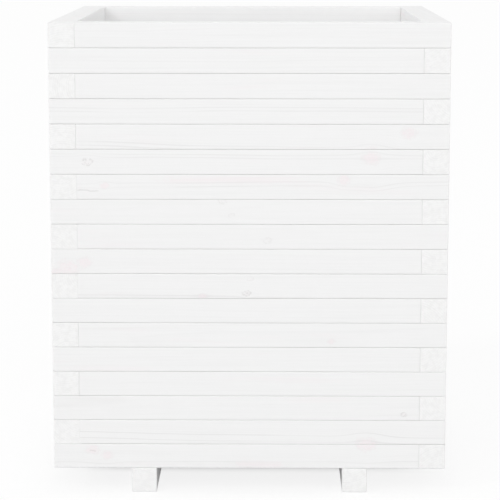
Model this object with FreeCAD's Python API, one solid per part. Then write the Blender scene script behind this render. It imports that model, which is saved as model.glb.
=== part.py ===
# A square, open-topped garden planter of stacked pine beams, in millimetres.
#
# Each course is a pinwheel of four like beams: one end of a beam runs through to the corner and
# shows its end grain, and the other end butts against the inner face of the next beam. The next
# course is the same pinwheel turned over, so that the through ends alternate up every corner.
# A stub tenon on each butt end sits in a mortise near the through end of its neighbour, and a
# long eight-sided peg runs up inside each corner through all the through ends.
# Two runners under the walls, screwed on from below, carry the box and the slatted floor.
#
# The frame has +Z up and the front towards -Y. The origin is on the ground, under the middle.

import FreeCAD, Part
import math
import os

from FreeCAD import Vector

# The box: its outer size and its number of courses
OUTER_WIDTH = 602.0
OUTER_DEPTH = 602.0
COURSES = 18

# A wall beam: how thick the wall is, how high one course is, and the bevel of its long edges
BEAM_THICKNESS = 40.0
BEAM_HEIGHT = 38.0
EDGE_BEVEL = 1.0

# A corner peg, the room round it, and the wood that hides its ends in the first and last course
PEG_SIDES = 8
PEG_ACROSS_FLATS = 12.0
PEG_CLEARANCE = 0.2
PEG_COVER = 10.0
PEG_TOP_ROOM = 0.8
PEG_POINT_BEVEL = 1.0

# A stub tenon, the room round it, and the wood left between its mortise and the peg's hole
TENON_WIDTH = 14.0
TENON_HEIGHT = 18.0
TENON_CLEARANCE = 0.2
TENON_END_ROOM = 0.5
MORTISE_WEB = 3.0

# A runner, and how far it stands in from the side of the box
RUNNER_WIDTH = 38.0
RUNNER_HEIGHT = 38.0
RUNNER_INSET = 120.0

# The floor boards, the drain gaps between them, and the gap at their ends
FLOOR_BOARDS = 6
BOARD_THICKNESS = 18.0
DRAIN_GAP = 6.0
BOARD_END_GAP = 2.0

# A runner screw: shank, head, six-sided driver socket and point, and its bite into the beam
SCREW_DIAMETER = 6.0
SCREW_HEAD_DIAMETER = 12.0
SCREW_HEAD_HEIGHT = 4.0
SCREW_SOCKET_SIDES = 6
SCREW_SOCKET_ACROSS_FLATS = 5.0
SCREW_SOCKET_DEPTH = 2.5
SCREW_POINT_LENGTH = 5.0
SCREW_BITE = 24.0

# The holes for a runner screw: the room round shank and head, and how deep the head is sunk
SCREW_HOLE_CLEARANCE = 0.3
SCREW_PILOT_CLEARANCE = 0.1
SCREW_PILOT_ROOM = 2.0
HEAD_RECESS_CLEARANCE = 1.0
HEAD_RECESS_DEPTH = 14.0

# How far a cutting tool runs past the face that it leaves
OVERRUN = 5.0

# Places worked out from the sizes above
INNER_WIDTH = OUTER_WIDTH - 2 * BEAM_THICKNESS
INNER_DEPTH = OUTER_DEPTH - 2 * BEAM_THICKNESS
WALL_FOOT = RUNNER_HEIGHT
WALL_TOP = WALL_FOOT + COURSES * BEAM_HEIGHT
WALL_MIDLINE = BEAM_THICKNESS / 2
CORNER_X = OUTER_WIDTH / 2 - WALL_MIDLINE
CORNER_Y = OUTER_DEPTH / 2 - WALL_MIDLINE
PEG_HOLE_ACROSS_FLATS = PEG_ACROSS_FLATS + 2 * PEG_CLEARANCE
PEG_HOLE_FOOT = WALL_FOOT + PEG_COVER
PEG_HOLE_TOP = WALL_TOP - PEG_COVER
MORTISE_DEPTH = BEAM_THICKNESS - WALL_MIDLINE - PEG_HOLE_ACROSS_FLATS / 2 - MORTISE_WEB
TENON_LENGTH = MORTISE_DEPTH - TENON_END_ROOM
RUNNER_MIDLINE_X = OUTER_WIDTH / 2 - RUNNER_INSET - RUNNER_WIDTH / 2
BOARD_LENGTH = INNER_WIDTH - 2 * BOARD_END_GAP
BOARD_WIDTH = (INNER_DEPTH - (FLOOR_BOARDS + 1) * DRAIN_GAP) / FLOOR_BOARDS

ORIGIN = Vector(0, 0, 0)
UP = Vector(0, 0, 1)
TOWARDS_BACK = Vector(0, 1, 0)
QUARTER_TURN = 90
HALF_TURN = 180
FULL_TURN = 360


def bevelled_bar(length, width, height):
    """A planed bar along +X from the origin, with a small bevel along its four long edges."""
    near, far = EDGE_BEVEL, width - EDGE_BEVEL
    low, high = EDGE_BEVEL, height - EDGE_BEVEL
    outline = [
        (near, 0), (far, 0), (width, low), (width, high),
        (far, height), (near, height), (0, high), (0, low),
    ]
    points = [Vector(0, y, z) for y, z in outline]
    section = Part.Face(Part.makePolygon(points + points[:1]))
    return section.extrude(Vector(length, 0, 0))


def upright_hole(diameter, x, y, foot, top):
    """The round tool that cuts one upright hole."""
    return Part.makeCylinder(diameter / 2, top - foot, Vector(x, y, foot), UP)


def upright_prism(sides, across_flats, x, y, foot, top):
    """An upright bar with equal sides, one of them towards -Y."""
    half_side = math.pi / sides
    reach = across_flats / 2 / math.cos(half_side)
    points = []
    for corner in range(sides):
        turn = (2 * corner + 1) * half_side
        points.append(Vector(x + reach * math.sin(turn), y - reach * math.cos(turn), foot))
    section = Part.Face(Part.makePolygon(points + points[:1]))
    return section.extrude(Vector(0, 0, top - foot))


def box_round(x_low, x_high, y_middle, z_middle, width, height):
    """A box from x_low to x_high, with its section centred on y_middle and z_middle."""
    corner = Vector(x_low, y_middle - width / 2, z_middle - height / 2)
    return Part.makeBox(x_high - x_low, width, height, corner)


def wall_beam(length):
    """One beam along +X: its through end at the origin, its outer face towards -Y.

    The length runs to the shoulder of the butt end, and the stub tenon stands out past it.
    """
    middle = BEAM_HEIGHT / 2
    tenon = box_round(
        length - TENON_LENGTH, length + TENON_LENGTH, WALL_MIDLINE, middle, TENON_WIDTH, TENON_HEIGHT
    )
    mortise = Part.makeBox(
        TENON_WIDTH + 2 * TENON_CLEARANCE,
        MORTISE_DEPTH + OVERRUN,
        TENON_HEIGHT + 2 * TENON_CLEARANCE,
        Vector(
            WALL_MIDLINE - TENON_WIDTH / 2 - TENON_CLEARANCE,
            BEAM_THICKNESS - MORTISE_DEPTH,
            middle - TENON_HEIGHT / 2 - TENON_CLEARANCE,
        ),
    )
    bar = bevelled_bar(length, BEAM_THICKNESS, BEAM_HEIGHT)
    return bar.fuse(tenon).cut(mortise)


def stood_in_wall(beam, quarter, turned_over, level):
    """The beam in its wall: quarter 0 is the front, and each next wall is a quarter turn round.

    Turned over, end for end, the same beam has its through end at the wall's other corner.
    """
    along, across = (OUTER_WIDTH, OUTER_DEPTH) if quarter % 2 == 0 else (OUTER_DEPTH, OUTER_WIDTH)
    piece = beam.copy()
    if turned_over:
        piece.rotate(ORIGIN, TOWARDS_BACK, HALF_TURN)
        piece.translate(Vector(along / 2, -across / 2, level + BEAM_HEIGHT))
    else:
        piece.translate(Vector(-along / 2, -across / 2, level))
    piece.rotate(ORIGIN, UP, QUARTER_TURN * quarter)
    return piece


def corners():
    """The middles of the four corners, with a name for each."""
    return {
        "front_left": (-CORNER_X, -CORNER_Y),
        "front_right": (CORNER_X, -CORNER_Y),
        "rear_right": (CORNER_X, CORNER_Y),
        "rear_left": (-CORNER_X, CORNER_Y),
    }


def screw_places():
    """Where a runner crosses the midline of the front or the rear wall."""
    return [(x, y) for x in (-RUNNER_MIDLINE_X, RUNNER_MIDLINE_X) for y in (-CORNER_Y, CORNER_Y)]


def wall_holes():
    """All the upright holes in the walls: four for the pegs, and four for the runner screws."""
    peg_holes = [
        upright_prism(PEG_SIDES, PEG_HOLE_ACROSS_FLATS, x, y, PEG_HOLE_FOOT, PEG_HOLE_TOP)
        for x, y in corners().values()
    ]
    pilot_diameter = SCREW_DIAMETER + 2 * SCREW_PILOT_CLEARANCE
    pilot_top = WALL_FOOT + SCREW_BITE + SCREW_PILOT_ROOM
    pilots = [
        upright_hole(pilot_diameter, x, y, WALL_FOOT - OVERRUN, pilot_top)
        for x, y in screw_places()
    ]
    return peg_holes + pilots


def walls():
    """Every course as two nodes: its front and rear beams, and its two side beams."""
    holes = wall_holes()
    beams = [wall_beam(OUTER_WIDTH - BEAM_THICKNESS), wall_beam(OUTER_DEPTH - BEAM_THICKNESS)]
    made = {}
    for course in range(COURSES):
        level = WALL_FOOT + course * BEAM_HEIGHT
        turned_over = course % 2 == 1
        stood = [
            stood_in_wall(beams[quarter % 2], quarter, turned_over, level).cut(holes)
            for quarter in range(4)
        ]
        front, right, rear, left = stood
        number = f"{course + 1:02d}"
        made[f"front_rear_beams_{number}"] = [front, rear]
        made[f"side_beams_{number}"] = [left, right]
    return made


def corner_pegs():
    """Four pegs that stand in the blind holes of the first course and end in the last."""
    made = {}
    for name, (x, y) in corners().items():
        top = PEG_HOLE_TOP - PEG_TOP_ROOM
        bar = upright_prism(PEG_SIDES, PEG_ACROSS_FLATS, x, y, PEG_HOLE_FOOT, top)
        end_edges = [edge for edge in bar.Edges if edge.BoundBox.ZLength < edge.Length / 2]
        made[f"corner_peg_{name}"] = [bar.makeChamfer(PEG_POINT_BEVEL, end_edges)]
    return made


def turned_solid(half_outline, x, y):
    """A round solid about the upright line at x, y, from its radii and heights."""
    points = [Vector(x + radius, y, z) for radius, z in half_outline]
    profile = Part.Face(Part.makePolygon(points + points[:1]))
    return profile.revolve(Vector(x, y, 0), UP, FULL_TURN)


def runners():
    """The two bars under the box, with a hole and a recess for each screw."""
    holes = []
    for x, y in screw_places():
        shank_diameter = SCREW_DIAMETER + 2 * SCREW_HOLE_CLEARANCE
        recess_diameter = SCREW_HEAD_DIAMETER + 2 * HEAD_RECESS_CLEARANCE
        holes.append(upright_hole(shank_diameter, x, y, -OVERRUN, RUNNER_HEIGHT + OVERRUN))
        holes.append(upright_hole(recess_diameter, x, y, -OVERRUN, HEAD_RECESS_DEPTH))
    made = {}
    for name, x in (("left", -RUNNER_MIDLINE_X), ("right", RUNNER_MIDLINE_X)):
        bar = bevelled_bar(OUTER_DEPTH, RUNNER_WIDTH, RUNNER_HEIGHT)
        bar.rotate(ORIGIN, UP, QUARTER_TURN)
        bar.translate(Vector(x + RUNNER_WIDTH / 2, -OUTER_DEPTH / 2, 0))
        made[f"runner_{name}"] = [bar.cut(holes)]
    return made


def runner_screws():
    """The four screws that hold the runners to the front and rear walls, heads down."""
    shank, head = SCREW_DIAMETER / 2, SCREW_HEAD_DIAMETER / 2
    head_foot = HEAD_RECESS_DEPTH - SCREW_HEAD_HEIGHT
    tip = WALL_FOOT + SCREW_BITE
    half_outline = [
        (0, head_foot), (head, head_foot), (head, HEAD_RECESS_DEPTH),
        (shank, HEAD_RECESS_DEPTH), (shank, tip - SCREW_POINT_LENGTH), (0, tip),
    ]
    screws = []
    for x, y in screw_places():
        screw = turned_solid(half_outline, x, y)
        socket = upright_prism(
            SCREW_SOCKET_SIDES, SCREW_SOCKET_ACROSS_FLATS, x, y,
            head_foot - OVERRUN, head_foot + SCREW_SOCKET_DEPTH,
        )
        screws.append(screw.cut(socket))
    return {"runner_screws": screws}


def floor_boards():
    """The slats of the floor, which lie across the runners with a drain gap round each."""
    made = {}
    for board in range(FLOOR_BOARDS):
        near_edge = -INNER_DEPTH / 2 + DRAIN_GAP + board * (BOARD_WIDTH + DRAIN_GAP)
        slat = bevelled_bar(BOARD_LENGTH, BOARD_WIDTH, BOARD_THICKNESS)
        slat.translate(Vector(-BOARD_LENGTH / 2, near_edge, RUNNER_HEIGHT))
        made[f"floor_board_{board + 1}"] = [slat]
    return made


def write_parts(nodes):
    """Each node as one STEP file of its separate solids."""
    os.makedirs("parts", exist_ok=True)
    for name, pieces in nodes.items():
        solids = [solid for piece in pieces for solid in piece.Solids]
        shape = solids[0] if len(solids) == 1 else Part.makeCompound(solids)
        shape.exportStep(f"parts/{name}.step")
        volume = sum(solid.Volume for solid in solids)
        print(f"{name}: {len(solids)} solids, {volume:.0f} cubic mm, valid {shape.isValid()}")


write_parts({**walls(), **corner_pegs(), **runners(), **runner_screws(), **floor_boards()})
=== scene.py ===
"""The looks of a square garden planter of stacked pine beams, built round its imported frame.

The walls are courses of painted beams laid as a pinwheel, with the end grain of each through beam
showing at a corner. Below them stand two runners, which carry a slatted floor inside the box.
Sizes are in metres, +Z is up and the front of the planter faces -Y.
"""

import logging
import math
import random
from dataclasses import astuple, dataclass, field, replace
from enum import Enum
from functools import partialmethod
from typing import Iterable, Sequence, Union

import bpy
import numpy as np
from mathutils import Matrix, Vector


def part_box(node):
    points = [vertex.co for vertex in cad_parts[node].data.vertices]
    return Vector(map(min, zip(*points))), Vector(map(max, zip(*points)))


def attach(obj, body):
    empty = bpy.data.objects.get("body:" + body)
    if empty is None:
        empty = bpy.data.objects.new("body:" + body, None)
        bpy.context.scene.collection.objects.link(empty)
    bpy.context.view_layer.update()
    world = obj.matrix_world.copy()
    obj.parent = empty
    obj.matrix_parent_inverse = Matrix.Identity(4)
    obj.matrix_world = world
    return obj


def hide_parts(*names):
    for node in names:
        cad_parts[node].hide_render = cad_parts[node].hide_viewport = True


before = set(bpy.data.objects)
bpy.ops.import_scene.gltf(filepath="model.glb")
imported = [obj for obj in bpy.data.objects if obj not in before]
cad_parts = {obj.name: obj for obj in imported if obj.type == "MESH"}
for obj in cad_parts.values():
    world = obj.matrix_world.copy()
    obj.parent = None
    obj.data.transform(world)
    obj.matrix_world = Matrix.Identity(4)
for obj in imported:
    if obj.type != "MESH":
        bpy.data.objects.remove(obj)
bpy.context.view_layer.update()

LOG = logging.getLogger("planter")
MM = 0.001
WALLS = 4  # in the order front, right, rear and left
KNOTS = ("knot_a", "knot_b", "knot_c")
NO_DARK_RINGS = (0.0, 0.0)  # the radii of a beam's two dark rings, where it has none
WHITE = (1.0, 1.0, 1.0)
MIX_FIRST, MIX_SECOND, MIX_RESULT = 6, 7, 2  # the places of a Mix node's colour sockets

Material, Piece = bpy.types.Material, bpy.types.Object
Triple = tuple[float, float, float]
Span = tuple[float, float]
Value = Union[float, str, Sequence[float], "Wire"]


def mm(*lengths: float) -> tuple[float, ...]:
    """Turn millimetres into metres."""
    return tuple(length * MM for length in lengths)


class Slot(Enum):
    """The record's slots, for the finishes of the pieces that are made here."""

    WALL_PINE = "white_pine"
    FLOOR_PINE = "floor_pine"
    ZINC_STEEL = "zinc_steel"


class Knot(Enum):
    """How a branch shows in the face of a beam."""

    BURIED = -1.0
    SOUND = 0.0
    DRY = 1.0
    PAINTED_OVER = 2.0


@dataclass(frozen=True)
class Grain:
    """A smooth noise: how often it changes along each axis, per metre, and its finer layers.

    It swings over a depth, or makes patches that rise over a span of its value.
    """

    scale: Triple
    layers: float = 2.0
    depth: float = 1.0
    span: Span = (0.0, 1.0)
    roughness: float = 0.55


@dataclass(frozen=True)
class Wire:
    """A node's output. Sums of it with numbers and other wires add nodes to its tree."""

    socket: bpy.types.NodeSocket

    @property
    def weave(self) -> "Weave":
        """Give the weave of the tree that the output is in."""
        return Weave(self.socket.id_data)

    def work_out(self, operation: str, *others: Value, swapped: bool = False) -> "Wire":
        """Add the node of a sum: the one for vectors, if this or the other value is a vector.

        Args:
            operation: The name of the sum, as the node has it.
            others: The other value, where the sum has one.
            swapped: Whether this comes after the other value.

        Returns:
            The result.
        """
        values = (*others, self) if swapped else (self, *others)
        vectors = any(isinstance(v, Wire) and v.socket.type == "VECTOR" for v in values)
        kind = "ShaderNodeVectorMath" if vectors else "ShaderNodeMath"
        out = "Value" if operation == "LENGTH" else 0
        return self.weave.wire(kind, dict(enumerate(values)), out, operation=operation)

    __add__ = partialmethod(work_out, "ADD")
    __sub__ = partialmethod(work_out, "SUBTRACT")
    __rsub__ = partialmethod(work_out, "SUBTRACT", swapped=True)
    __mul__ = partialmethod(work_out, "MULTIPLY")
    __truediv__ = partialmethod(work_out, "DIVIDE")
    __rtruediv__ = partialmethod(work_out, "DIVIDE", swapped=True)
    __mod__ = partialmethod(work_out, "MODULO")
    __pow__ = partialmethod(work_out, "POWER")
    __rpow__ = partialmethod(work_out, "POWER", swapped=True)
    __abs__ = partialmethod(work_out, "ABSOLUTE")
    at_least = partialmethod(work_out, "MAXIMUM")
    at_most = partialmethod(work_out, "MINIMUM")
    whole = partialmethod(work_out, "FLOOR")
    sine = partialmethod(work_out, "SINE")
    sign = partialmethod(work_out, "SIGN")
    unit = partialmethod(work_out, "NORMALIZE")
    length = partialmethod(work_out, "LENGTH")

    def clamped(self) -> "Wire":
        """Keep a number between 0 and 1."""
        return self.weave.wire("ShaderNodeClamp", {"Value": self})

    def parts(self) -> list["Wire"]:
        """Take a vector apart into its three numbers."""
        return [Wire(part) for part in self.weave.node("ShaderNodeSeparateXYZ", {0: self}).outputs]

    def ramp(self, start: float, end: float) -> "Wire":
        """Rise smoothly from 0 at start to 1 at end, which may lie below start."""
        inputs = {"Value": self, "From Min": start, "From Max": end}
        return self.weave.wire("ShaderNodeMapRange", inputs, interpolation_type="SMOOTHSTEP")

    def bell(self, width: Value) -> "Wire":
        """Fall from 1 as a distance grows, in the shape of a bell, with a third left at a width."""
        share = self / width
        return math.exp(-1.0) ** (share * share)

    def noise(self, grain: Grain, seed: Value = 0.0) -> "Wire":
        """Lay a noise over a place: mostly from 0.2 to 0.8, and another for each seed."""
        inputs = {"Vector": self * grain.scale, "W": seed, "Scale": 1.0,
                  "Detail": grain.layers, "Roughness": grain.roughness}
        return self.weave.wire("ShaderNodeTexNoise", inputs, noise_dimensions="4D")

    def swing(self, grain: Grain, seed: Value) -> "Wire":
        """Lay a noise over a place, as a number round 0 that reaches over the noise's depth."""
        return (self.noise(grain, seed) - 0.5) * grain.depth

    def patches(self, grain: Grain, seed: Value = 0.0) -> "Wire":
        """Lay a noise over a place as patches, from 0 between them to 1 in them."""
        return self.noise(grain, seed).ramp(*grain.span)

    def mix(self, first: Value, second: Value) -> "Wire":
        """Mix two colours, with this as the share of the second."""
        inputs = {0: self, MIX_FIRST: first, MIX_SECOND: second}
        return self.weave.wire("ShaderNodeMix", inputs, MIX_RESULT, data_type="RGBA")


@dataclass(frozen=True)
class Weave:
    """Adds nodes to one tree and links them."""

    tree: bpy.types.NodeTree

    def feed(self, socket: bpy.types.NodeSocket, value: Value) -> None:
        """Give an input a link or a fixed value.

        Args:
            socket: The input.
            value: A wire to link from, or the value to hold.
        """
        if isinstance(value, Wire):
            self.tree.links.new(value.socket, socket)
        elif socket.type == "VECTOR" and isinstance(value, (int, float)):
            socket.default_value = (value, value, value)
        elif socket.type == "RGBA" and len(value) == 3:
            socket.default_value = (*value, 1.0)
        else:
            socket.default_value = value

    def node(
        self, kind: str, inputs: dict[str | int, Value] | None = None, **settings: object
    ) -> bpy.types.Node:
        """Add one node.

        Args:
            kind: The node's type name.
            inputs: Links or values for its inputs, by name or place.
            settings: Values for its own properties.

        Returns:
            The new node.
        """
        made = self.tree.nodes.new(kind)
        for name, setting in settings.items():
            setattr(made, name, setting)
        for name, value in (inputs or {}).items():
            self.feed(made.inputs[name], value)
        return made

    def wire(
        self, kind: str, inputs: dict[str | int, Value] | None = None, out: str | int = 0,
        **settings: object,
    ) -> Wire:
        """Add one node, as above, and give one of its outputs, by name or place."""
        return Wire(self.node(kind, inputs, **settings).outputs[out])

    def join(self, x: Value, y: Value, z: Value) -> Wire:
        """Make a vector of three numbers."""
        return self.wire("ShaderNodeCombineXYZ", {"X": x, "Y": y, "Z": z})


class NodeGroup:
    """A node group with named sockets, whose nodes each kind of group adds in its own way."""

    TITLE = ""
    KIND = "GeometryNodeTree"
    INPUTS: dict[str, object] = {}
    OUTPUTS: dict[str, str] = {"Geometry": "NodeSocketGeometry"}
    SOCKET_TYPES = {
        float: "NodeSocketFloat", int: "NodeSocketInt", bool: "NodeSocketBool",
        tuple: "NodeSocketVector", type(None): "NodeSocketMaterial",
    }

    def __init__(self) -> None:
        """Make the group and its sockets, and add its nodes."""
        self.weave = Weave(bpy.data.node_groups.new(self.TITLE, self.KIND))
        sockets = self.weave.tree.interface
        for label, kind in self.OUTPUTS.items():
            sockets.new_socket(name=label, in_out="OUTPUT", socket_type=kind)
        self.identifiers: dict[str, str] = {}
        for label, first in self.INPUTS.items():
            kind = self.SOCKET_TYPES[type(first)]
            socket = sockets.new_socket(name=label, in_out="INPUT", socket_type=kind)
            if first is not None:
                socket.default_value = first
            self.identifiers[label] = socket.identifier
        outputs = self.weave.node("NodeGroupInput").outputs
        self.given = {socket.name: Wire(socket) for socket in outputs}
        self.build()

    def build(self) -> None:
        """Add the nodes."""
        raise NotImplementedError


class GrownGroup(NodeGroup):
    """A geometry tree that grows pieces of one kind."""

    def store(self, mesh: Wire, name: str, value: Value, **settings: str) -> Wire:
        """Keep a value under a name on a mesh's points, or where the settings say."""
        inputs = {"Geometry": mesh, "Name": name, "Value": value}
        return self.weave.wire("GeometryNodeStoreNamedAttribute", inputs, **settings)

    def switch(self, question: Wire, no: Wire, yes: Wire, kind: str) -> Wire:
        """Choose between two values of one kind."""
        inputs = {"Switch": question, "False": no, "True": yes}
        return self.weave.wire("GeometryNodeSwitch", inputs, input_type=kind)

    def cut(self, body: Wire, *tools: Wire) -> Wire:
        """Cut tools out of a body.

        Args:
            body: The body's mesh.
            tools: The meshes to cut out.

        Returns:
            What is left of the body.
        """
        settings = {"operation": "DIFFERENCE", "solver": "EXACT"}
        made = self.weave.node("GeometryNodeMeshBoolean", {"Mesh 1": body}, **settings)
        for tool in tools:
            self.weave.feed(made.inputs["Mesh 2"], tool)
        return Wire(made.outputs["Mesh"])

    def on_points(self, count: Value, place: Value, piece: Wire, turn: Value = 0.0) -> Wire:
        """Put a copy of a piece on each of a number of points.

        Args:
            count: How many points there are.
            place: Where a point lies.
            piece: The piece.
            turn: How far a copy is turned about its upright axis.

        Returns:
            The copies.
        """
        w = self.weave
        points = w.wire("GeometryNodePoints", {"Count": count, "Position": place})
        rotation = w.wire("FunctionNodeEulerToRotation", {0: w.join(0.0, 0.0, turn)})
        inputs = {"Points": points, "Instance": piece, "Rotation": rotation}
        return w.wire("GeometryNodeInstanceOnPoints", inputs)

    def hand_out(self, copies: Wire) -> None:
        """Make the copies one mesh, give it its material and put it out.

        Args:
            copies: The copies of the piece.
        """
        whole = self.weave.wire("GeometryNodeRealizeInstances", {0: copies})
        inputs = {"Geometry": whole, "Material": self.given["Material"]}
        dressed = self.weave.wire("GeometryNodeSetMaterial", inputs)
        self.weave.node("NodeGroupOutput", {"Geometry": dressed})

    def grow(self, name: str, values: dict[str, object]) -> Piece:
        """Run the tree once and keep what it makes as a plain mesh.

        Args:
            name: The name of the piece.
            values: The tree's inputs, by name.

        Returns:
            The piece, with no modifier left on it.
        """
        piece = bpy.data.objects.new(name, bpy.data.meshes.new(name))
        bpy.context.scene.collection.objects.link(piece)
        modifier = piece.modifiers.new("grow", "NODES")
        modifier.node_group = self.weave.tree
        for label, value in values.items():
            modifier[self.identifiers[label]] = value
        graph = bpy.context.evaluated_depsgraph_get()
        mesh = bpy.data.meshes.new_from_object(
            piece.evaluated_get(graph), preserve_all_data_layers=True, depsgraph=graph)
        piece.modifiers.clear()
        spare, piece.data = piece.data, mesh
        mesh.name = name
        bpy.data.meshes.remove(spare)
        return piece


def settle(piece: Piece, nodes: Iterable[str] = ()) -> None:
    """Hand a finished piece to the frame.

    Args:
        piece: The piece.
        nodes: The frame's nodes that it stands for.
    """
    names = list(nodes)
    if names:
        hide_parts(*names)
    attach(piece, "root")
    faces = len(piece.data.polygons)
    LOG.info("%s: %d faces, stands for %s", piece.name, faces, names or "nothing")


@dataclass(frozen=True)
class Branch:
    """One knot in a beam: a branch that passes through it from the outer to the inner face."""

    along: float
    up: float
    radius: float
    kind: Knot = Knot.SOUND


@dataclass(frozen=True)
class Streak:
    """A pink streak of resin, or a fine drying crack, that runs along a beam."""

    along: float
    up: float
    half_length: float


NOWHERE = -9.0
NO_STREAK = Streak(NOWHERE, 0.0, 10.0 * MM)
NO_BRANCH = Branch(NOWHERE, 0.0, 5.0 * MM, Knot.BURIED)


@dataclass(frozen=True)
class Timber:
    """What grew in one beam, measured from the left end and the underside of its outer face.

    The heart of the log lies behind the outer face and at a height, and it leans along the beam.
    A dark ring, where there is one, crosses the outer face at a given height. The two shares tell
    how well the paint lets the dark rings and the other rings show.
    """

    heart_behind: float
    heart_up: float
    lean: float
    seed: float
    branches: tuple[Branch, ...] = ()
    dark_rings_up: tuple[float, ...] = ()
    resin: Streak = NO_STREAK
    crack: Streak = NO_STREAK
    dark_share: float = 1.0
    plain_share: float = 1.0

    def growth(self) -> dict[str, Triple]:
        """Give what grew, as the rows of numbers that the pine's figure reads.

        Returns:
            Three numbers for each name of PineFigure.GROWTH.
        """
        rings = [math.hypot(self.heart_behind, up - self.heart_up) for up in self.dark_rings_up]
        rings = [*rings, *NO_DARK_RINGS][:len(NO_DARK_RINGS)]
        branches = [*self.branches, *[NO_BRANCH] * len(KNOTS)][:len(KNOTS)]
        return {
            "heart": (self.heart_behind, self.heart_up, self.lean),
            "grown": (self.seed, *rings),
            "shown": (self.dark_share, self.plain_share, 0.0),
            "dryness": tuple(branch.kind.value for branch in branches),
            **{name: (b.along, b.up, b.radius) for name, b in zip(KNOTS, branches)},
            "resin": astuple(self.resin),
            "crack": astuple(self.crack),
        }


# The timber of the front beams from the ground up, as the photo shows it.
FRONT_TIMBERS: tuple[Timber, ...] = (
    Timber(
        *mm(30, -46), -0.004, 3.1,
        (Branch(*mm(60, 29, 8)), Branch(*mm(82, 20, 7)), Branch(*mm(481, 38, 12))),
        mm(9), Streak(*mm(317, 6, 45)), Streak(*mm(60, 28, 6)),
        dark_share=0.9, plain_share=0.3),
    Timber(
        *mm(18, -52), 0.015, 7.7, (Branch(*mm(481, 0, 12)),), mm(19.5, 9.5),
        dark_share=1.1, plain_share=0.3),
    Timber(
        *mm(55, 30), 0.010, 11.9, (Branch(*mm(538, 9.5, 3.6), Knot.DRY),), mm(29),
        dark_share=0.4, plain_share=0.5),
    Timber(*mm(48, 62), 0.005, 66.3, plain_share=0.4),
    Timber(*mm(57, -26), -0.006, 70.8, plain_share=0.4),
    Timber(*mm(62, 12), -0.008, 15.2, (Branch(*mm(426, 9.5, 4.5)),), plain_share=0.5),
    Timber(*mm(42, 58), -0.002, 74.1, plain_share=0.6),
    Timber(
        *mm(40, -30), 0.004, 19.6,
        (Branch(*mm(230, 4, 5)), Branch(*mm(297, 8, 4.5), Knot.DRY),
         Branch(*mm(302, 31, 3.5), Knot.PAINTED_OVER)),
        mm(5), plain_share=0.8),
    Timber(
        *mm(48, 60), -0.003, 23.4,
        (Branch(*mm(25, 8, 14)), Branch(*mm(50, 17, 8.5)), Branch(*mm(8, 1, 8))),
        plain_share=0.3),
    Timber(
        *mm(58, 26), 0.007, 27.8, (Branch(*mm(328, 14, 5), Knot.PAINTED_OVER),),
        plain_share=0.6),
    Timber(
        *mm(66, 20), -0.005, 31.5,
        (Branch(*mm(274, 14, 3.5), Knot.PAINTED_OVER), Branch(*mm(261, 36, 5), Knot.PAINTED_OVER)),
        plain_share=0.4),
    Timber(
        *mm(34, -38), -0.011, 35.3,
        (Branch(*mm(82, 21, 5)), Branch(*mm(443, 30, 8)),
         Branch(*mm(486, 34, 14), Knot.BURIED)),
        mm(15, 21), Streak(*mm(274, 31, 125)), Streak(*mm(58, 13, 18)),
        dark_share=0.8, plain_share=0.6),
    Timber(
        *mm(46, -44), 0.003, 39.1,
        (Branch(*mm(57, 19, 5.5), Knot.DRY), Branch(*mm(484, 25, 10.5))),
        mm(31, 26), dark_share=0.7, plain_share=0.5),
    Timber(
        *mm(50, -40), 0.012, 43.7,
        (Branch(*mm(541, 25, 9)), Branch(*mm(484, -8, 11))),
        mm(11, 5), dark_share=0.9, plain_share=0.5),
    Timber(*mm(24, -56), 0.002, 47.2, (), mm(19, 24), dark_share=0.7, plain_share=0.6),
    Timber(*mm(60, 70), 0.002, 52.6, plain_share=0.5),
    Timber(*mm(52, -30), -0.003, 57.0, plain_share=0.6),
    Timber(*mm(45, 66), 0.004, 61.4, plain_share=0.8),
)


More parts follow.
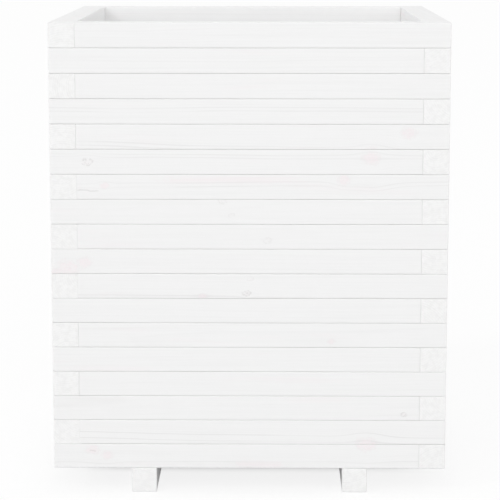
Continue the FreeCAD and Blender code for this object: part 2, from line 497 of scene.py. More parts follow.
@dataclass(frozen=True)
class TimberYard:
    """Picks the timber of each beam: by chance, apart from the front ones."""

    seed: int = 41
    knots_per_beam: float = 1.1
    smallest_knot: float = 3.0 * MM
    largest_knot: float = 9.0 * MM
    clear_of_knots: float = 50.0 * MM
    dry_share: float = 0.35
    heart_behind: Span = mm(-20.0, 70.0)
    heart_up: Span = mm(-50.0, 85.0)
    most_lean: float = 0.022
    seeds: Span = (0.0, 50.0)
    resin_share: float = 0.35
    longest_resin: float = 0.12
    crack_share: float = 0.3
    longest_crack: float = 0.02
    streak_heights: Span = (0.1, 0.9)
    shortest_streak: float = 0.2

    def random_timber(self, rng: random.Random, length: float, height: float) -> Timber:
        """Make up the timber of a beam that the photo doesn't show.

        Args:
            rng: The source of chance.
            length: The beam's length.
            height: The beam's height.

        Returns:
            The timber.
        """
        branches = []
        for _ in range(min(len(KNOTS), int(rng.expovariate(1.0 / self.knots_per_beam)))):
            radius = rng.uniform(self.smallest_knot, self.largest_knot)
            kind = Knot.DRY if rng.random() < self.dry_share else Knot.SOUND
            along = rng.uniform(self.clear_of_knots, length - self.clear_of_knots)
            branches.append(Branch(along, rng.uniform(0.0, height), radius, kind))
        spans = (self.heart_behind, self.heart_up, (-self.most_lean, self.most_lean), self.seeds)
        heart = [rng.uniform(*span) for span in spans]
        streaks = []
        for share, reach in ((self.resin_share, self.longest_resin),
                             (self.crack_share, self.longest_crack)):
            along, up = rng.uniform(0.0, length), rng.uniform(*self.streak_heights) * height
            streak = Streak(along, up, rng.uniform(self.shortest_streak, 1.0) * reach)
            streaks.append(streak if rng.random() < share else NO_STREAK)
        return Timber(*heart, tuple(branches), (), *streaks)

    def fell(self, courses: int, length: float, height: float) -> list[list[Timber]]:
        """Pick the timber of every beam in the walls, with clear timber round the rim.

        Args:
            courses: How many courses there are.
            length: The length of a wall.
            height: The height of a beam.

        Returns:
            For each course from the ground, the timber of its front, right, rear and left beam.
        """
        rng = random.Random(self.seed)
        stack = [
            [self.random_timber(rng, length, height) for _ in range(WALLS)] for _ in range(courses)]
        for beams, timber in zip(stack, FRONT_TIMBERS):
            beams[0] = timber
        stack[-1] = [replace(timber, branches=()) for timber in stack[-1]]
        return stack

    def write(self, piece: Piece, timbers: Sequence[Timber]) -> None:
        """Store on each point of a piece what grew in the beam that it belongs to.

        Args:
            piece: The piece, whose points hold the number of their beam.
            timbers: The timber of each beam, in the order of those numbers.
        """
        mesh = piece.data
        beam = np.zeros(len(mesh.vertices), dtype=np.float32)
        mesh.attributes[BarTree.BEAM].data.foreach_get("value", beam)
        order = np.rint(beam).astype(int)
        rows = [timber.growth() for timber in timbers]
        for name in PineFigure.GROWTH:
            layer = mesh.attributes.new(name, "FLOAT_VECTOR", "POINT")
            values = np.array([row[name] for row in rows], dtype=np.float32)
            layer.data.foreach_set("vector", values[order].ravel())


class BarTree(GrownGroup):
    """The geometry tree of a planed bar with eased edges, copied round the middle of the planter.

    A bar starts as a box of cells from -1 to 1. The outermost cells of each side become a narrow
    flat strip and a round edge, and the cells between them are spread over the flat. Each point
    keeps its place in the log, how far it lies round an edge, how far it faces along the bar, and
    the number of its copy. The flats wave a little, but hardly at the ends, which are fitted to
    the next bar.
    """

    PLACE = "place"
    ROUND = "round"
    END = "end"
    BEAM = "beam"
    TITLE = "eased bar"
    INPUTS = {
        "Size": (1.0, 0.1, 0.1),
        "Ease": (MM, MM, MM),
        "Cells": (40.0, 3.0, 3.0),
        "Place": (0.0, 0.0, 0.0),
        "Corner": (0.0, 0.0, 0.0),
        "Face Up": False,
        "Turn": 0.0,
        "Copies": 1,
        "Recesses": 0,
        "First Recess": (0.02, 0.02, 0.0),
        "Recess Pitch": 0.5,
        "Recess Radius": 7.0 * MM,
        "Recess Depth": 14.0 * MM,
        "Unevenness": 0.0,
        "Seed": 0.0,
        "Material": None,
    }
    EDGE_CELLS = 3.0
    STRIP = 1.2 * MM
    FAR_ROUND_A_CORNER = 0.42
    LEANING_OUT = 0.3
    OPEN_JOINT = 0.7 * MM
    FITTED_END = 45.0 * MM
    FITTED_SHARE = 0.05
    WAVES = Grain((9.0, 30.0, 30.0), 1.0)
    DRILL_SIDES = 32
    CRISP_ANGLE = math.radians(65.0)

    def build(self) -> None:
        """Add the nodes."""
        w, given = self.weave, self.given
        cells = given["Cells"] + 2 * self.EDGE_CELLS
        names = ("Vertices X", "Vertices Y", "Vertices Z")
        per_axis = {name: part + 1.0 for name, part in zip(names, cells.parts())}
        box = w.wire("GeometryNodeMeshCube", {"Size": 2.0, **per_axis}, "Mesh")
        place, outward, around = self.eased(cells)
        stored = self.store(box, self.PLACE, self.in_log(place), data_type="FLOAT_VECTOR")
        stored = self.store(stored, self.ROUND, around)
        stored = self.store(stored, self.END, abs(outward.parts()[0]))
        waves = place.noise(self.WAVES, given["Seed"]).clamped()
        sunk = outward * (waves * given["Unevenness"] * -1.0)
        along = place.parts()[0]
        from_end = along.at_most(given["Size"].parts()[0] - along)
        loose = from_end.ramp(self.FITTED_END, 2 * self.FITTED_END)
        loose = loose * (1.0 - self.FITTED_SHARE) + self.FITTED_SHARE
        sunk = sunk * w.join(self.FITTED_SHARE, loose, 1.0)
        moved = place + sunk + given["Corner"]
        bar = w.wire("GeometryNodeSetPosition", {"Geometry": stored, "Position": moved})
        smooth = w.wire("GeometryNodeSetShadeSmooth", {"Geometry": bar, "Shade Smooth": True})
        self.hand_out(self.copied(self.drilled(smooth)))

    def in_log(self, place: Wire) -> Wire:
        """Give the place in the log: along it, behind the bar's best face, and up that face.

        Args:
            place: The place from the bar's corner.

        Returns:
            The place in the log. The best face is the top where Face Up says so, or the front.
        """
        along, behind, up = (place + self.given["Place"]).parts()
        height = self.given["Size"].parts()[2]
        laid = self.weave.join(along, height - up, behind)
        stood = self.weave.join(along, behind, up)
        return self.switch(self.given["Face Up"], stood, laid, "VECTOR")

    def eased(self, cells: Wire) -> tuple[Wire, Wire, Wire]:
        """Spread the box of cells over a bar with round edges.

        Args:
            cells: How many cells each axis has in all.

        Returns:
            A point's place from the bar's corner, its outward direction, and how far it lies
            round an edge, from 0 on a flat to 1 on the middle of an edge, which sets how much
            painted shade the edge takes. An upright edge has less of it where the end is hardly
            eased, as paint fills a tight joint.
        """
        ease = self.given["Ease"]
        position = self.weave.wire("GeometryNodeInputPosition")
        side = position.sign()
        reach = abs(position)
        flat_end = self.given["Cells"] / cells
        flat = reach.at_most(flat_end) / flat_end
        steps = (reach - flat_end).at_least(0.0) / (1.0 - flat_end) * self.EDGE_CELLS
        strip = steps.at_most(1.0) * self.STRIP
        arc = (steps - 1.0).at_least(0.0) / (self.EDGE_CELLS - 1.0)
        half = self.given["Size"] * 0.5
        centre = (flat * (half - ease - self.STRIP) + strip) * side
        outward = (arc * side).unit()
        place = centre + outward * ease + half
        # How far round an edge: this sets the painted shade in the grooves between beams.
        around = ((arc.length() - 1.0) / self.FAR_ROUND_A_CORNER).clamped()
        upright = abs(outward.parts()[2]).ramp(self.LEANING_OUT, 0.0)
        filled = (ease.parts()[0] / self.OPEN_JOINT).clamped() - 1.0
        return place, outward, around * (upright * filled + 1.0)

    def drilled(self, bar: Wire) -> Wire:
        """Drill a row of round recesses into the bar's underside, if it has any.

        Args:
            bar: The bar, in its place in the front.

        Returns:
            The drilled bar.
        """
        w, given = self.weave, self.given
        pitch = w.wire("GeometryNodeInputIndex") * given["Recess Pitch"]
        place = given["Corner"] + given["First Recess"] + w.join(pitch, 0.0, 0.0)
        sizes = {"Vertices": self.DRILL_SIDES, "Side Segments": 1,
                 "Radius": given["Recess Radius"], "Depth": given["Recess Depth"] * 2.0}
        drill = w.wire("GeometryNodeMeshCylinder", sizes, "Mesh")
        drills = self.on_points(given["Recesses"], place, drill)
        drills = w.wire("GeometryNodeRealizeInstances", {0: drills})
        in_bar = w.wire("GeometryNodeInputPosition") - given["Corner"]
        drills = self.store(drills, self.PLACE, in_bar, data_type="FLOAT_VECTOR")
        angle = w.wire("GeometryNodeInputMeshEdgeAngle")
        settings = {"operation": "GREATER_THAN"}
        crisp = w.wire("FunctionNodeCompare", {0: angle, 1: self.CRISP_ANGLE}, **settings)
        inputs = {"Geometry": self.cut(bar, drills), "Selection": crisp, "Shade Smooth": False}
        edged = w.wire("GeometryNodeSetShadeSmooth", inputs, domain="EDGE")
        return self.switch(given["Recesses"], bar, edged, "GEOMETRY")

    def copied(self, bar: Wire) -> Wire:
        """Copy the bar round the planter's upright middle line, evenly.

        Args:
            bar: The bar, in its place in the front.

        Returns:
            The copies, each with its number.
        """
        index = self.weave.wire("GeometryNodeInputIndex")
        turn = self.given["Turn"] + index * (2 * math.pi / self.given["Copies"])
        copies = self.on_points(self.given["Copies"], (0.0, 0.0, 0.0), bar, turn)
        return self.store(copies, self.BEAM, index, domain="INSTANCE")


class ScrewTree(GrownGroup):
    """The geometry tree of countersunk screw heads: in each row, a pair over either runner."""

    TITLE = "countersunk heads"
    INPUTS = {
        "Rows": 6,
        "First Row": (0.0, 0.0, 0.0),
        "Row Pitch": 0.1,
        "Pair Gap": 0.04,
        "Across": 0.3,
        "Head Radius": 4.0 * MM,
        "Head Depth": 2.4 * MM,
        "Recess": mm(5.0, 1.0, 1.6),
        "Seed": 5,
        "Material": None,
    }
    PER_PAIR = 2.0
    PER_ROW = 4.0
    SHANK_SHARE = 0.5
    HEAD_SIDES = 32

    def build(self) -> None:
        """Add the nodes: one head, points in rows of two pairs, and a turn by chance on each."""
        w, given = self.weave, self.given
        index = w.wire("GeometryNodeInputIndex")
        row, pair = (index / self.PER_ROW).whole(), (index / self.PER_PAIR).whole()
        in_pair = index % self.PER_PAIR - 0.5
        back = row * given["Row Pitch"] + in_pair * given["Pair Gap"]
        across = (pair % 2.0 - 0.5) * given["Across"]
        place = given["First Row"] + w.join(across, back, 0.0)
        chance = w.wire("FunctionNodeRandomValue", {"Seed": given["Seed"]}, 1, data_type="FLOAT")
        count = given["Rows"] * self.PER_ROW
        self.hand_out(self.on_points(count, place, self.head(), chance * math.pi))

    def head(self) -> Wire:
        """Make one head with a cross recess, its flat top at height 0.

        Returns:
            The head's mesh.
        """
        w, radius, depth = self.weave, self.given["Head Radius"], self.given["Head Depth"]
        sizes = {"Vertices": self.HEAD_SIDES, "Radius Top": radius,
                 "Radius Bottom": radius * self.SHANK_SHARE, "Depth": depth}
        cone = w.wire("GeometryNodeMeshCone", sizes, "Mesh")
        lowered = {"Geometry": cone, "Translation": w.join(0.0, 0.0, depth * -1.0)}
        arm = w.wire("GeometryNodeMeshCube", {"Size": self.given["Recess"]}, "Mesh")
        crossed = {"Geometry": arm, "Rotation": (0.0, 0.0, math.pi / 2)}
        cone, other_arm = (w.wire("GeometryNodeTransform", inputs) for inputs in (lowered, crossed))
        return self.cut(cone, arm, other_arm)


class PineFigure(NodeGroup):
    """The node group of the figure in a solid piece of pine: rings, fibres, knots and cracks.

    It works in the beam itself, so the rings that run along a face are the same rings that show
    as arcs in the end grain, and they bend round each knot.
    """

    TITLE = "pine figure"
    KIND = "ShaderNodeTree"
    GROWTH = ("heart", "grown", "shown", "dryness", *KNOTS, "resin", "crack")
    INPUTS = dict.fromkeys((BarTree.PLACE, *GROWTH), (0.0, 0.0, 0.0))
    OUTPUTS = dict.fromkeys(
        ("Rings", "Lines", "Fibres", "Pores", "Mottle", "Pink", "Dry", "Blush"),
        "NodeSocketFloat")
    RAGGED = Grain((170.0, 170.0, 170.0))
    FIBRES = Grain((5.0, 260.0, 260.0), 4.0)
    PORES = Grain((26.0, 1500.0, 1500.0), 3.0)
    MOTTLE = Grain((60.0, 140.0, 140.0))
    BLUSH, BLUSH_SEED, BLUSH_BY_CHANCE = Grain((4.5, 40.0, 40.0), span=(0.58, 0.74)), 5.0, 0.4
    PATCHES, SHOWN_BETWEEN = Grain((7.0, 25.0, 25.0), 1.0, span=(0.35, 0.6)), 0.3
    RING_WIDTH = 3.4 * MM
    LATE_WOOD_STARTS = (0.45, 0.93)
    LATE_WOOD_ENDS = (1.0, 0.95)
    FEW_ARE_BOLD = 4.0
    BOLDEST_BY_CHANCE = 0.38
    DARK_RING_WIDTH = 0.7 * MM
    SWAY = Grain((3.2, 9.0, 9.0), 1.0, 10.0 * MM)
    SHIVER = Grain((14.0, 60.0, 60.0), depth=1.2 * MM)
    WANDER = Grain((26.0, 8.0, 8.0), 1.0, 7.0 * MM)
    JOLT = Grain((75.0, 8.0, 8.0), 1.0, 7.0 * MM)
    TREMBLE_DEPTH = 2.0 * MM
    RESIN_HEIGHT = 6.0 * MM
    RESIN_FIBRES = (0.3, 0.55)
    CRACK_HEIGHT = 1.0 * MM
    FRAYED = 0.8
    STREAK_FADE = (1.0, 0.6)
    BARK, BARK_SEED = Grain((230.0, 90.0, 230.0), 1.0, span=(0.34, 0.56)), 4.0
    KNOT_STRETCH = 0.7
    KNOT_PULL, KNOT_PULL_REACH = 0.72, 1.8
    KNOT_RAGGED = 1.3
    KNOT_FADE = (1.3, 0.35)
    KNOT_RINGS, KNOT_RING_DEPTH = 14.0, 0.22
    KNOT_RIM, KNOT_RIM_WIDTH = 0.85, 0.2
    KNOT_SPLIT_WIDTH, KNOT_SPLIT_FADE = 0.035, (1.0, 0.6)
    PINK_LOST_WHEN_DRY = 0.75
    DARK_WHEN_SOUND = 0.15
    HIDDEN_BY_PAINT = 0.62

    def build(self) -> None:
        """Add the nodes."""
        w, given = self.weave, self.given
        place = given[BarTree.PLACE]
        self.along, behind, self.up = place.parts()
        seed, *dark_rings = given["grown"].parts()
        self.seed = seed
        self.ragged = place.noise(self.RAGGED, seed) - 0.5
        bent_up, pink, dry = self.knots()
        bent = w.join(self.along, behind, bent_up)
        lines, late = self.rings(self.radius(bent), dark_rings)
        patchy = place.patches(self.PATCHES, seed) * (1.0 - self.SHOWN_BETWEEN)
        fibres = place.noise(self.FIBRES, seed)
        blush = place.patches(self.BLUSH, seed + self.BLUSH_SEED) * self.BLUSH_BY_CHANCE
        trembling = self.ragged * self.TREMBLE_DEPTH
        wandering = place.swing(self.WANDER, seed) + trembling + self.up
        resin = self.streak(given["resin"], wandering, self.RESIN_HEIGHT)
        jolting = place.swing(self.JOLT, seed) + wandering
        crack = self.streak(given["crack"], jolting, self.CRACK_HEIGHT)
        w.node("NodeGroupOutput", {
            "Rings": late,
            "Lines": lines * (patchy + self.SHOWN_BETWEEN),
            "Fibres": fibres,
            "Pores": bent.noise(self.PORES, seed),
            "Mottle": place.noise(self.MOTTLE, seed),
            "Pink": pink,
            "Dry": dry.at_least(crack),
            "Blush": blush.at_least(resin * fibres.ramp(*self.RESIN_FIBRES)),
        })

    def rings(self, radius: Wire, dark_rings: Iterable[Wire]) -> tuple[Wire, Wire]:
        """Lay the yearly rings: a few strong by chance, and the dark ones where they are wanted.

        Args:
            radius: The distance from the heart of the log.
            dark_rings: The radii of the dark rings.

        Returns:
            The strong rings, and the late wood in all of them.
        """
        dark_share, plain_share, _ = self.given["shown"].parts()
        grid = radius / self.RING_WIDTH
        whole = grid.whole()
        part = grid - whole
        chance = self.weave.wire(
            "ShaderNodeTexWhiteNoise", {"W": whole + self.seed}, "Value", noise_dimensions="1D")
        late = part.ramp(*self.LATE_WOOD_STARTS) * part.ramp(*self.LATE_WOOD_ENDS)
        lines = late * (chance ** self.FEW_ARE_BOLD * self.BOLDEST_BY_CHANCE * plain_share)
        for ring in dark_rings:
            lines = lines.at_least((radius - ring).bell(self.DARK_RING_WIDTH) * dark_share)
        return lines, late

    def radius(self, spot: Wire) -> Wire:
        """Give the distance from the heart of the log, with the unevenness of a grown trunk.

        Args:
            spot: The place in the beam, with its height bent round the knots.

        Returns:
            The distance.
        """
        along, behind, up = spot.parts()
        heart_behind, heart_up, lean = self.given["heart"].parts()
        flat = self.weave.join(0.0, behind - heart_behind, up - heart_up)
        straight = along * lean + flat.length()
        return straight + spot.swing(self.SWAY, self.seed) + spot.swing(self.SHIVER, self.seed)

    def knots(self) -> tuple[Wire, Wire, Wire]:
        """Lay the knots, and bend the height of the rings round them.

        Returns:
            The bent height, the pink of sound knots, and the dark of dry ones.
        """
        bark = self.given[BarTree.PLACE].patches(self.BARK, self.BARK_SEED)
        cracked = self.ragged.bell(self.KNOT_SPLIT_WIDTH) * bark
        bent_up, pink, dry = self.up, 0.0, 0.0
        for name, kind in zip(KNOTS, self.given["dryness"].parts()):
            knot_along, knot_up, radius = self.given[name].parts()
            gap_along = (self.along - knot_along) * self.KNOT_STRETCH
            gap_up = self.up - knot_up
            distance = self.weave.join(gap_along, gap_up, 0.0).length() / radius
            bent_up = bent_up - gap_up * (distance.bell(self.KNOT_PULL_REACH) * self.KNOT_PULL)
            edge = self.ragged * self.KNOT_RAGGED + distance
            dryness = kind.clamped()
            shown = (kind + 1.0).clamped() - (kind - 1.0).clamped() * self.HIDDEN_BY_PAINT
            wave = (edge * self.KNOT_RINGS).sine()
            inner_rings = wave * self.KNOT_RING_DEPTH + (1.0 - self.KNOT_RING_DEPTH)
            body = edge.ramp(*self.KNOT_FADE) * inner_rings * shown
            pink = (body * (dryness * -self.PINK_LOST_WHEN_DRY + 1.0)).at_least(pink)
            rim = (edge - self.KNOT_RIM).bell(self.KNOT_RIM_WIDTH) * bark
            split = cracked * edge.ramp(*self.KNOT_SPLIT_FADE)
            darkness = dryness * (1.0 - self.DARK_WHEN_SOUND) + self.DARK_WHEN_SOUND
            dry = (rim.at_least(split) * darkness * shown).at_least(dry)
        return bent_up, pink, dry

    def streak(self, given: Wire, up: Wire, height: float) -> Wire:
        """Lay a thin band that runs along the beam, with frayed ends.

        Args:
            given: The band's place along the beam, its height in the beam and its half-length.
            up: The height in the beam, as it wanders.
            height: How high the band is.

        Returns:
            The band, from 0 to 1.
        """
        middle, band_up, half_length = given.parts()
        far = abs(self.along - middle) / half_length
        fade = (self.ragged * self.FRAYED + far).ramp(*self.STREAK_FADE)
        return (up - band_up).bell(height) * fade


def blank(owner: bpy.types.ID) -> Weave:
    """Give the weave of a material's or a world's tree, with its first nodes taken away.

    Args:
        owner: The material or the world.

    Returns:
        The weave of the empty tree.
    """
    owner.use_nodes = True
    owner.node_tree.nodes.clear()
    return Weave(owner.node_tree)


def relief(height: Wire, strength: float, depth: float) -> Wire:
    """Raise a surface by a height, up to a depth in metres."""
    inputs = {"Strength": strength, "Distance": depth, "Height": height}
    return height.weave.wire("ShaderNodeBump", inputs, "Normal")


@dataclass(frozen=True)
class Finish:
    """A finish that is made of nodes."""

    name: str

    def material(self) -> Material:
        """Build the material.

        Returns:
            The material.
        """
        made = bpy.data.materials.new(self.name)
        w = blank(made)
        w.node("ShaderNodeOutputMaterial", {"Surface": self.surface(w)})
        return made

    def surface(self, w: Weave) -> Wire:
        """Add the nodes, and give the shader that the surface takes."""
        raise NotImplementedError


@dataclass(frozen=True)
class PaintedPine(Finish):
    """Planed pine under a thin coat of matt white paint, through which the figure just shows.

    It reads what grew in each beam from the points of the piece.
    """

    figure: PineFigure
    paint: Triple = (0.885, 0.885, 0.885)
    line_tint: Triple = (0.79, 0.787, 0.785)
    pink_tint: Triple = (0.895, 0.815, 0.835)
    dry_tint: Triple = (0.46, 0.45, 0.445)
    end_tint: Triple = (0.915, 0.915, 0.912)
    # Painted shade: a grey laid on the eased edges where the grooves between beams would be shaded,
    # and its share there.
    groove_shade_tint: Triple = (0.80, 0.798, 0.796)
    end_span: Span = (0.75, 0.95)
    fibre_span: Span = (0.4, 0.75)
    mottle_span: Span = (0.4, 0.64)
    pore_span: Span = (0.5, 0.78)
    line_share: float = 0.85
    ring_share: float = 0.05
    more_rings_in_ends: float = 2.2
    fibre_share: float = 0.16
    mottle_share: float = 0.3
    pore_share: float = 0.22
    pink_share: float = 0.62
    dry_share: float = 0.3
    blush_share: float = 0.38
    groove_shade_share: float = 0.6
    gloss_of_paint: float = 1.46
    roughness: float = 0.54
    rougher_fibres: float = 0.16
    rougher_ends: float = 0.1
    heights: tuple[tuple[str, float], ...] = (
        ("Pores", -0.7), ("Fibres", 0.6), ("Lines", -0.5), ("Rings", 0.12), ("Dry", -1.2))
    higher_in_ends: float = 0.8
    relief_strength: float = 0.6
    relief_depth: float = 0.12 * MM

    def surface(self, w: Weave) -> Wire:
        """Lay the paint over the figure, which sinks the pores and cracks and raises the fibres.

        Args:
            w: The material's weave.

        Returns:
            The shader.
        """
        grown_there = {name: self.read(w, name, "Vector") for name in self.figure.INPUTS}
        figure = w.node("ShaderNodeGroup", node_tree=self.figure.weave.tree)
        for name, row in grown_there.items():
            w.feed(figure.inputs[name], row)
        grown = {socket.name: Wire(socket) for socket in figure.outputs}
        end = self.read(w, BarTree.END, "Fac").ramp(*self.end_span)
        rough = grown["Fibres"] * self.rougher_fibres + self.roughness
        first, *others = (grown[name] * share for name, share in self.heights)
        height = sum(others, first) * (end * self.higher_in_ends + 1.0)
        return w.wire("ShaderNodeBsdfPrincipled", {
            "Base Color": self.colour(grown, end, self.read(w, BarTree.ROUND, "Fac")),
            "Roughness": end * self.rougher_ends + rough,
            "IOR": self.gloss_of_paint,
            "Normal": relief(height, self.relief_strength, self.relief_depth),
        })

    def read(self, w: Weave, name: str, out: str) -> Wire:
        """Read one attribute of the beam."""
        return w.wire("ShaderNodeAttribute", out=out, attribute_name=name)

    def colour(self, grown: dict[str, Wire], end: Wire, edge: Wire) -> Wire:
        """Lay the figure over the paint, and paint shade into the grooves of the eased edges.

        Args:
            grown: The figure's outputs.
            end: 1 on end grain and 0 elsewhere.
            edge: How far round an eased edge the point lies, which sets the painted groove shade.

        Returns:
            The colour.
        """
        fibres = grown["Fibres"].ramp(*self.fibre_span) * self.fibre_share
        mottle = grown["Mottle"].ramp(*self.mottle_span) * (end * self.mottle_share)
        pores = grown["Pores"].ramp(*self.pore_span) * self.pore_share
        rings = grown["Rings"] * self.ring_share * (end * self.more_rings_in_ends + 1.0)
        colour = end.mix(self.paint, self.end_tint)
        for share in (fibres, mottle, pores, rings, grown["Lines"] * self.line_share):
            colour = share.mix(colour, self.line_tint)
        for share in (grown["Blush"] * self.blush_share * (1.0 - end),
                      grown["Pink"] * self.pink_share):
            colour = share.mix(colour, self.pink_tint)
        colour = (grown["Dry"] * self.dry_share).mix(colour, self.dry_tint)
        # Painted shade: the eased edges are greyed as if the grooves between the beams were in
        # shade.
        return (edge * self.groove_shade_share).mix(colour, self.groove_shade_tint)


@dataclass(frozen=True)
class BareBeech(Finish):
    """Planed beech with its short dark flecks, for the pegs that are sealed in the corners."""

    name: str = "bare beech"
    light: Triple = (0.70, 0.50, 0.32)
    dark: Triple = (0.52, 0.33, 0.19)
    fibres: Grain = Grain((420.0, 420.0, 14.0), 3.0)
    flecks: Grain = Grain((1300.0, 1300.0, 190.0), 1.0, span=(0.6, 0.7))
    darkening: float = 0.5
    roughness: float = 0.5
    rougher_fibres: float = 0.2
    relief_strength: float = 0.4
    relief_depth: float = 0.1 * MM

    def surface(self, w: Weave) -> Wire:
        """Lay fibres and flecks along the peg.

        Args:
            w: The material's weave.

        Returns:
            The shader.
        """
        place = w.wire("ShaderNodeTexCoord", out="Object")
        fibres = place.noise(self.fibres)
        share = place.patches(self.flecks) * self.darkening + fibres * self.darkening
        return w.wire("ShaderNodeBsdfPrincipled", {
            "Base Color": share.mix(self.light, self.dark),
            "Roughness": fibres * self.rougher_fibres + self.roughness,
            "Normal": relief(fibres, self.relief_strength, self.relief_depth),
        })


@dataclass(frozen=True)
class ZincPlate(Finish):
    """Bright zinc on steel screws, clouded and a little worn."""

    name: str = "bright zinc"
    bright: Triple = (0.66, 0.67, 0.68)
    clouded: Triple = (0.46, 0.47, 0.48)
    clouds: Grain = Grain((260.0, 260.0, 260.0), 3.0, span=(0.35, 0.7))
    scratches: Grain = Grain((900.0, 2600.0, 900.0))
    roughness: float = 0.22
    rougher_clouds: float = 0.3
    relief_strength: float = 0.3
    relief_depth: float = 0.05 * MM

    def surface(self, w: Weave) -> Wire:
        """Cloud and scratch the plating.

        Args:
            w: The material's weave.

        Returns:
            The shader.
        """
        place = w.wire("ShaderNodeTexCoord", out="Object")
        clouds = place.noise(self.clouds)
        return w.wire("ShaderNodeBsdfPrincipled", {
            "Base Color": clouds.ramp(*self.clouds.span).mix(self.bright, self.clouded),
            "Metallic": 1.0,
            "Roughness": clouds * self.rougher_clouds + self.roughness,
            "Normal": relief(
                place.noise(self.scratches), self.relief_strength, self.relief_depth),
        })


@dataclass(frozen=True)
class Carcass:
    """The planter's main sizes, read from the frame."""

    width: float
    depth: float
    beam_height: float
    thickness: float
    wall_foot: float
    courses: int

    @classmethod
    def from_frame(cls) -> "Carcass":
        """Read the sizes.

        Returns:
            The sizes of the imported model.
        """
        low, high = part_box("front_rear_beams_01")
        peg_low, peg_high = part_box("corner_peg_front_left")
        midline = (peg_low.x + peg_high.x) / 2 - low.x
        courses = sum(name.startswith("side_beams_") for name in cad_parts)
        return cls(high.x - low.x, high.y - low.y, high.z - low.z, 2 * midline, low.z, courses)


@dataclass(frozen=True)
class Walls:
    """The stacked courses: a course's front and rear beams are one piece, and so are its sides."""

    carcass: Carcass
    bars: BarTree
    finish: Material
    yard: TimberYard = field(default_factory=TimberYard)
    ease_along: float = 1.0 * MM
    ease_at_ends: float = 0.65 * MM
    ease_in_filled_joints: float = 0.04 * MM
    courses_with_filled_joints: tuple[int, ...] = (1, 7, 9, 11)
    unevenness: float = 0.2 * MM
    cells: Triple = (54.0, 3.0, 3.0)

    def beams(self, course: int, first_wall: int, name: str) -> Piece:
        """Make two facing beams of a course.

        Args:
            course: The course, counted from 0 at the ground.
            first_wall: 0 for the front and rear beams, and 1 for the right and left ones.
            name: The name of the piece.

        Returns:
            The piece.
        """
        c = self.carcass
        starts = c.thickness if course % 2 else 0.0
        filled = course in self.courses_with_filled_joints
        ease_at_ends = self.ease_in_filled_joints if filled else self.ease_at_ends
        length = (c.width if first_wall == 0 else c.depth) - c.thickness
        return self.bars.grow(name, {
            "Size": (length, c.thickness, c.beam_height),
            "Ease": (ease_at_ends, self.ease_along, self.ease_along),
            "Cells": self.cells,
            "Place": (starts, 0.0, 0.0),
            "Corner": (starts - c.width / 2, -c.depth / 2, c.wall_foot + course * c.beam_height),
            "Turn": first_wall * math.pi / 2,
            "Copies": 2,
            "Unevenness": self.unevenness,
            "Seed": float(2 * course + first_wall),
            "Material": self.finish,
        })

    def build(self) -> None:
        """Make every course and hand it to the frame."""
        c = self.carcass
        for course, timbers in enumerate(self.yard.fell(c.courses, c.width, c.beam_height)):
            for first_wall, kind in enumerate(("front_rear_beams", "side_beams")):
                node = f"{kind}_{course + 1:02d}"
                piece = self.beams(course, first_wall, f"painted_{node}")
                self.yard.write(piece, timbers[first_wall::2])
                settle(piece, [node])


@dataclass(frozen=True)
class Floor:
    """The two runners, the slats that lie across them, and the heads of the slats' screws."""

    carcass: Carcass
    bars: BarTree
    screws: ScrewTree
    runner_finish: Material
    slat_finish: Material
    screw_finish: Material
    yard: TimberYard = field(default_factory=lambda: TimberYard(seed=7))
    ease: float = 1.0 * MM
    unevenness: float = 0.25 * MM
    cells: Triple = (50.0, 5.0, 3.0)
    wave_seeds: Span = (50.0, 90.0)
    recess_radius: float = 7.0 * MM
    recess_depth: float = 14.0 * MM
    pair_gap: float = 40.0 * MM
    head_proud: float = 0.15 * MM

    def bar(
        self, node: str, finish: Material, slot: Slot, turned: bool, rng: random.Random
    ) -> None:
        """Make one bar in the place of its node, and hand it to the frame.

        Args:
            node: The node's name.
            finish: The bar's material.
            slot: The record's slot for its finish; not used.
            turned: Whether it runs from front to back.
            rng: The source of chance for its timber.
        """
        low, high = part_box(node)
        size = high - low
        length, width = (size.y, size.x) if turned else (size.x, size.y)
        screw_inset = self.carcass.thickness / 2
        piece = self.bars.grow(f"painted_{node}", {
            "Size": (length, width, size.z),
            "Ease": (self.ease, self.ease, self.ease),
            "Cells": self.cells,
            "Corner": (low.y, -high.x, low.z) if turned else (low.x, low.y, low.z),
            "Face Up": not turned,
            "Turn": math.pi / 2 if turned else 0.0,
            "Recesses": 2 if turned else 0,
            "First Recess": (screw_inset, width / 2, 0.0),
            "Recess Pitch": length - 2 * screw_inset,
            "Recess Radius": self.recess_radius,
            "Recess Depth": self.recess_depth,
            "Unevenness": self.unevenness,
            "Seed": rng.uniform(*self.wave_seeds),
            "Material": finish,
        })
        height = size.z if turned else width
        self.yard.write(piece, [self.yard.random_timber(rng, length, height)])
        settle(piece, [node])

    def build(self) -> None:
        """Make the runners, the slats and the screw heads."""
        rng = random.Random(self.yard.seed)
        for runner in ("runner_left", "runner_right"):
            self.bar(runner, self.runner_finish, Slot.WALL_PINE, True, rng)
        slats = sorted(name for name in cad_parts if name.startswith("floor_board_"))
        for slat in slats:
            self.bar(slat, self.slat_finish, Slot.FLOOR_PINE, False, rng)
        self.heads(slats)

    def heads(self, slats: Sequence[str]) -> None:
        """Set the screw heads in the slats, over the runners.

        Args:
            slats: The names of the slats, from front to back.
        """
        first_low, first_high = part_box(slats[0])
        second_low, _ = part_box(slats[1])
        left_low, left_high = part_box("runner_left")
        middle = (first_low.y + first_high.y) / 2
        piece = self.screws.grow("floor_screw_heads", {
            "Rows": len(slats),
            "First Row": (0.0, middle, first_high.z + self.head_proud),
            "Row Pitch": second_low.y - first_low.y,
            "Pair Gap": self.pair_gap,
            "Across": -(left_low.x + left_high.x),
            "Material": self.screw_finish,
        })
        settle(piece)


def paint_nodes(names: Iterable[str], finish: Material) -> None:
    """Give CAD nodes whose own shape is shown a better material.

    Args:
        names: The nodes' names.
        finish: The material.
    """
    for name in names:
        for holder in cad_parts[name].material_slots:
            holder.material = finish
        LOG.info("%s: keeps its own shape, finish %s", name, finish.name)


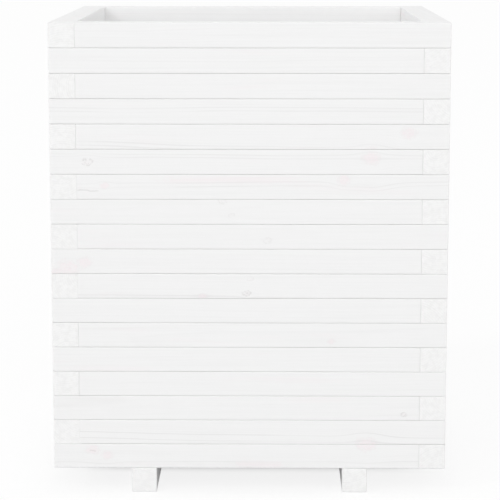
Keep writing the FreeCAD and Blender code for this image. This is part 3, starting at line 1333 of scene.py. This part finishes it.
def seen_directly(w: Weave) -> Wire:
    """Tell the rays that show the background from those that light the planter.

    Args:
        w: The weave of a material or of the world.

    Returns:
        1 for a ray from the camera, off metal or through glass, and 0 otherwise.
    """
    path = w.node("ShaderNodeLightPath").outputs
    kinds = ("Is Camera Ray", "Is Glossy Ray", "Is Transmission Ray")
    camera, glossy, through = (Wire(path[kind]) for kind in kinds)
    return camera.at_least(glossy.at_least(through))


@dataclass(frozen=True)
class StudioWhite(Finish):
    """The studio floor's white, which keeps a faint shadow of the planter, and a full one under it.

    It bounces less light than it shows, and is clear from below.
    """

    name: str = "studio floor"
    bounce: float = 0.5
    shadow_share: float = 0.15
    cover_edge: float = 0.305
    cover_front: float = -0.195
    cover_fade: float = 0.1

    def surface(self, w: Weave) -> Wire:
        """Mix a matt floor that takes the shadow with plain white.

        Args:
            w: The material's weave.

        Returns:
            The shader.
        """
        seen = seen_directly(w)
        tone = seen * (1.0 - self.bounce) + self.bounce
        matt = w.wire("ShaderNodeBsdfDiffuse", {"Color": w.join(tone, tone, tone)})
        white = w.wire("ShaderNodeEmission", {"Color": WHITE, "Strength": 1.0})
        across, back, _ = w.wire("ShaderNodeTexCoord", out="Object").parts()
        sides = (self.cover_edge, self.cover_edge - self.cover_fade)
        covered = abs(across).ramp(*sides) * back.ramp(*sides)
        covered = covered * back.ramp(self.cover_front, self.cover_front + self.cover_fade)
        shadow = covered * (1.0 - self.shadow_share) + self.shadow_share
        both = w.wire("ShaderNodeMixShader", {0: seen * (1.0 - shadow), 1: matt, 2: white})
        below = w.wire("ShaderNodeNewGeometry", out="Backfacing")
        clear = w.wire("ShaderNodeBsdfTransparent")
        return w.wire("ShaderNodeMixShader", {0: below, 1: both, 2: clear})


@dataclass(frozen=True)
class Studio:
    """The pale floor, the soft lights and the camera."""

    camera_place: Triple = (0.033, -3.324, 0.870)
    camera_aim: Triple = (0.001, -0.301, 0.379)
    lens: float = 145.5
    sensor: float = 36.0
    sight: float = 240.0
    side_light: float = 1.8
    top_light: float = 0.3
    floor_radius: float = 60.0
    floor_sides: int = 64
    key_from: Triple = (-0.85, -0.62, 0.72)
    key_power: float = 0.45
    key_softness: float = math.radians(7.0)
    front_place: Triple = (-0.8, -11.0, 7.4)
    front_power: float = 265.0
    front_size: float = 9.0

    def build(self) -> None:
        """Set up everything that isn't the planter."""
        self.camera()
        self.sky()
        self.floor()
        self.lamp("SUN", self.key_from, (0.0, 0.0, 0.0), self.key_power, angle=self.key_softness)
        self.lamp("AREA", self.front_place, self.camera_aim, self.front_power, size=self.front_size)
        bpy.context.scene.view_settings.view_transform = "Standard"

    def stand(self, data: bpy.types.ID, place: Triple, aim: Triple) -> Piece:
        """Put a camera or a lamp in the scene, aimed at a point.

        Args:
            data: The camera or the lamp.
            place: Where it stands.
            aim: The point that it is aimed at.

        Returns:
            Its object.
        """
        thing = bpy.data.objects.new(data.name, data)
        thing.location = place
        view = Vector(aim) - Vector(place)
        thing.rotation_euler = view.to_track_quat("-Z", "Y").to_euler()
        bpy.context.scene.collection.objects.link(thing)
        return thing

    def camera(self) -> None:
        """Stand the camera where the photo was taken from, aimed at the middle of the front."""
        data = bpy.data.cameras.new("camera")
        data.lens = self.lens
        data.sensor_width = self.sensor
        data.clip_end = self.sight
        bpy.context.scene.camera = self.stand(data, self.camera_place, self.camera_aim)

    def lamp(self, kind: str, place: Triple, aim: Triple, power: float, **settings: float) -> None:
        """Hang a lamp: a sun at the upper left as the key, or a wide soft light in front.

        Args:
            kind: SUN or AREA.
            place: Where it hangs.
            aim: The point that it is aimed at.
            power: Its energy.
            settings: Its size or its angle.
        """
        data = bpy.data.lights.new(kind.lower(), kind)
        data.energy = power
        for name, setting in settings.items():
            setattr(data, name, setting)
        self.stand(data, place, aim)

    def sky(self) -> None:
        """Make the world a soft light that comes mostly from the sides, and that looks white."""
        world = bpy.data.worlds.new("studio")
        w = blank(world)
        height = abs(w.wire("ShaderNodeTexCoord", out="Generated").parts()[2])
        lit = height * (self.top_light - self.side_light) + self.side_light
        seen = seen_directly(w)
        strength = seen + lit * (1.0 - seen)
        light = w.wire("ShaderNodeBackground", {"Color": WHITE, "Strength": strength})
        w.node("ShaderNodeOutputWorld", {"Surface": light})
        bpy.context.scene.world = world

    def floor(self) -> None:
        """Lay a round white floor, out to the horizon."""
        mesh = bpy.data.meshes.new("studio_floor")
        ring = [2 * math.pi * side / self.floor_sides for side in range(self.floor_sides)]
        points = [(self.floor_radius * math.cos(a), self.floor_radius * math.sin(a), 0.0)
                  for a in ring]
        mesh.from_pydata(points, [], [tuple(range(self.floor_sides))])
        floor = bpy.data.objects.new("studio_floor", mesh)
        bpy.context.scene.collection.objects.link(floor)
        mesh.materials.append(StudioWhite().material())


def main() -> None:
    """Build the planter and the studio, and report each piece."""
    logging.basicConfig(level=logging.INFO, format="%(name)s: %(message)s")
    Studio().build()
    carcass = Carcass.from_frame()
    bars, figure = BarTree(), PineFigure()
    wall_paint = PaintedPine("white paint on pine", figure).material()
    floor_paint = PaintedPine("thin white paint on pine", figure, fibre_share=0.3).material()
    zinc = ZincPlate().material()
    Walls(carcass, bars, wall_paint).build()
    Floor(carcass, bars, ScrewTree(), wall_paint, floor_paint, zinc).build()
    pegs = [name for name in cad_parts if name.startswith("corner_peg_")]
    paint_nodes(pegs, BareBeech().material())
    paint_nodes(["runner_screws"], zinc)


if __name__ == "__main__":
    main()
